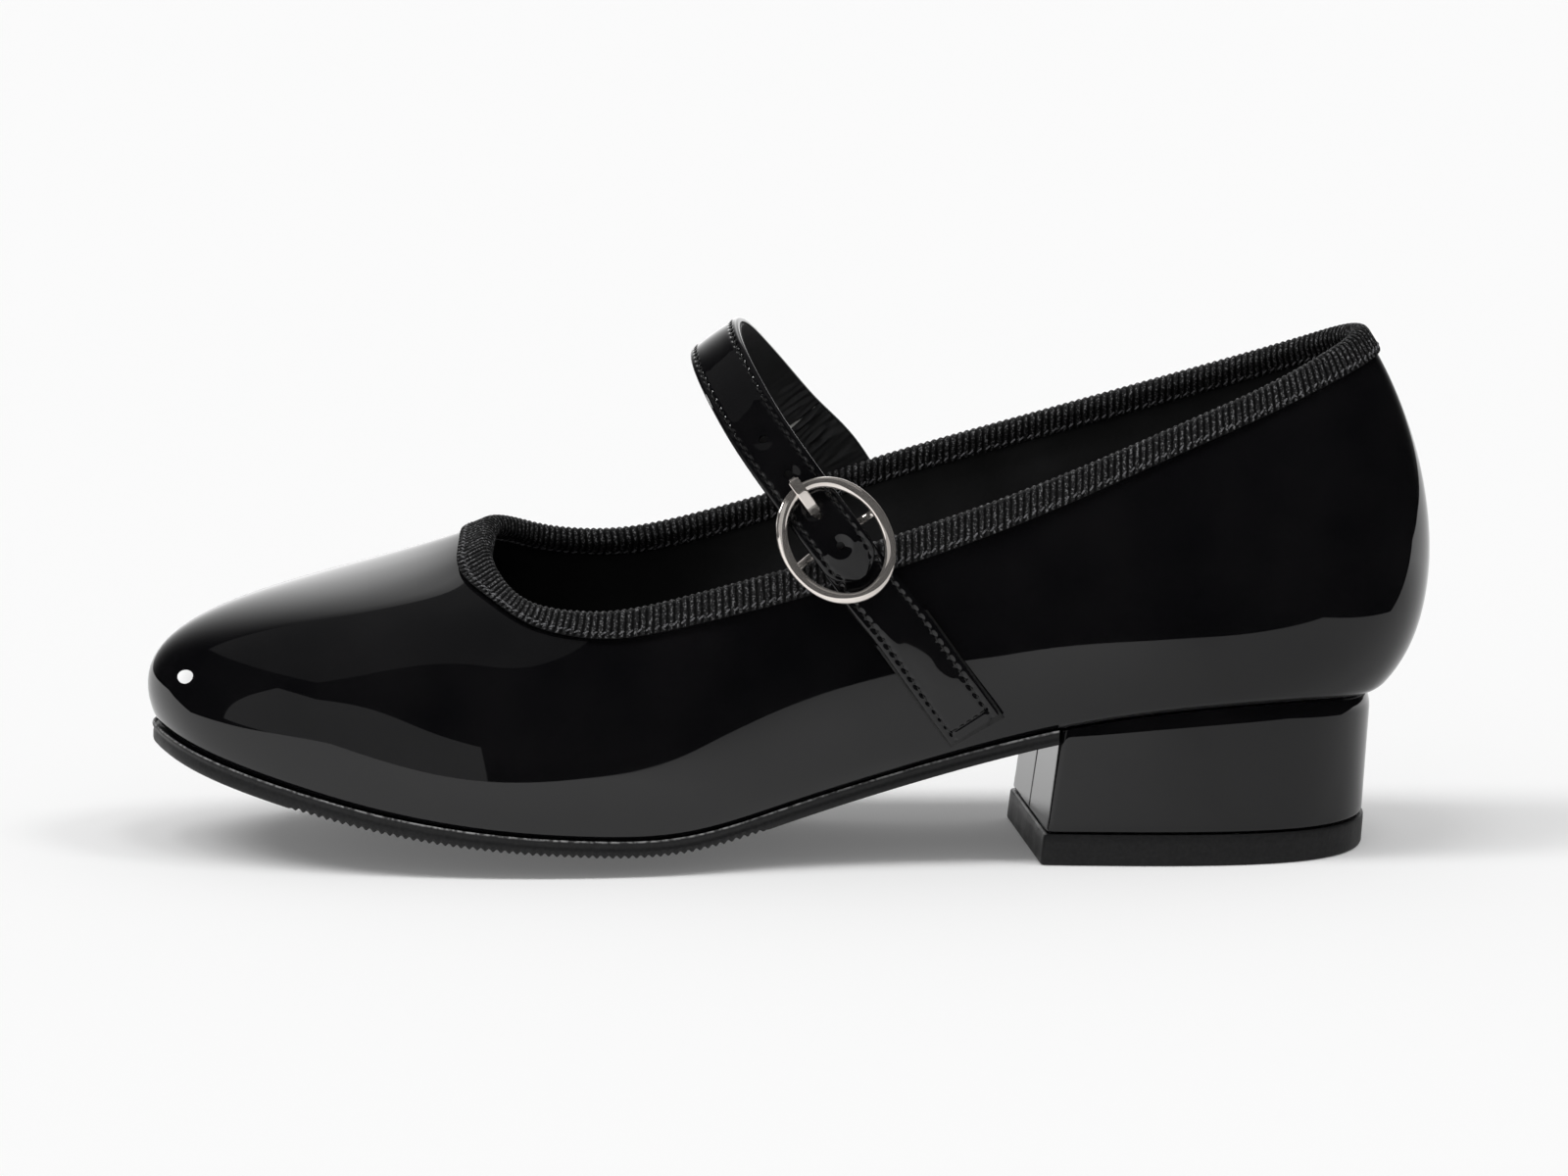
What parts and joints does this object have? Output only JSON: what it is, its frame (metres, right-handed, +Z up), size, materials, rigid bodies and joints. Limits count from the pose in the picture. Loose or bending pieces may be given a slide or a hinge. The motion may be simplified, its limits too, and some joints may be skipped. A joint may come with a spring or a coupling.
{
  "type": "mary jane shoe",
  "caption": "Left block-heel Mary Jane dance shoe in patent leather with ribbon-bound top line and a buckled strap over the instep.",
  "frame": {"origin": "on the floor, under the middle of the shoe's overall box", "axes": "toe towards -X, heel towards +X, outer side of the foot towards -Y, +Z up"},
  "size_m": [0.2368, 0.078, 0.0985],
  "materials": {
    "patent": "black patent leather, mirror-gloss coating over smooth leather",
    "strap_patent": "black patent leather cut in strips, edge-stitched",
    "grosgrain": "charcoal ribbed grosgrain ribbon, matt",
    "lining_leather": "black pigskin-grain lining, matt",
    "insock": "black smooth insock, satin",
    "sole_rubber": "black moulded rubber with cross ribs, satin",
    "nickel": "polished nickel plate",
    "steel": "plain steel",
    "fibreboard": "pressed cellulose fibreboard, matt",
    "foam": "open-cell foam, matt",
    "cork": "granulated cork composition",
    "stiffener": "resin-stiffened felt",
    "heel_plastic": "moulded plastic, matt"
  },
  "bodies": {
    "shoe": {"bottom_filler": "cork", "buckle_strap": "strap_patent", "buckle_strap_lining": "lining_leather", "footbed_foam": "foam", "heel_block": "heel_plastic", "heel_counter": "stiffener", "heel_cover": "patent", "heel_nail_1": "steel", "heel_nail_2": "steel", "heel_nail_3": "steel", "heel_nail_4": "steel", "heel_screw": "steel", "heel_top_piece": "sole_rubber", "insole_board": "fibreboard", "lining": "lining_leather", "outsole": "sole_rubber", "shank_rivet_front": "steel", "shank_rivet_rear": "steel", "sock_lining": "insock", "steel_shank": "steel", "strap_anchor": "strap_patent", "strap_anchor_lining": "lining_leather", "toe_puff": "stiffener", "top_piece_pin_1": "steel", "top_piece_pin_2": "steel", "topline_binding": "grosgrain", "upper": "patent"},
    "buckle": {"buckle_frame": "nickel"},
    "prong": {"buckle_prong": "nickel"},
    "strap": {"instep_strap": "strap_patent", "strap_lining": "lining_leather", "strap_reinforcement": "foam"}
  },
  "joints": [
    {"name": "strap_swing", "type": "hinge", "parent": "shoe", "child": "strap", "pos_m": [0.00914, 0.02757, 0.06774], "axis": [-0.8131, 0, -0.5821], "range_deg": [0, 115], "deforming": ["instep_strap", "strap_lining", "strap_reinforcement"]},
    {"name": "buckle_tilt", "type": "hinge", "parent": "shoe", "child": "buckle", "pos_m": [0.00799, -0.032, 0.06173], "axis": [0.8085, 0.1056, 0.5789], "range_deg": [0, 8]},
    {"name": "prong_lift", "type": "hinge", "parent": "buckle", "child": "prong", "pos_m": [0.00799, -0.032, 0.06173], "axis": [0.8085, 0.1056, 0.5789], "range_deg": [0, 60]}
  ],
  "couplings": [
    {"joint": "buckle_tilt", "follows": "strap_swing", "ratio": 0.0695},
    {"joint": "prong_lift", "follows": "strap_swing", "ratio": 0.52}
  ]
}
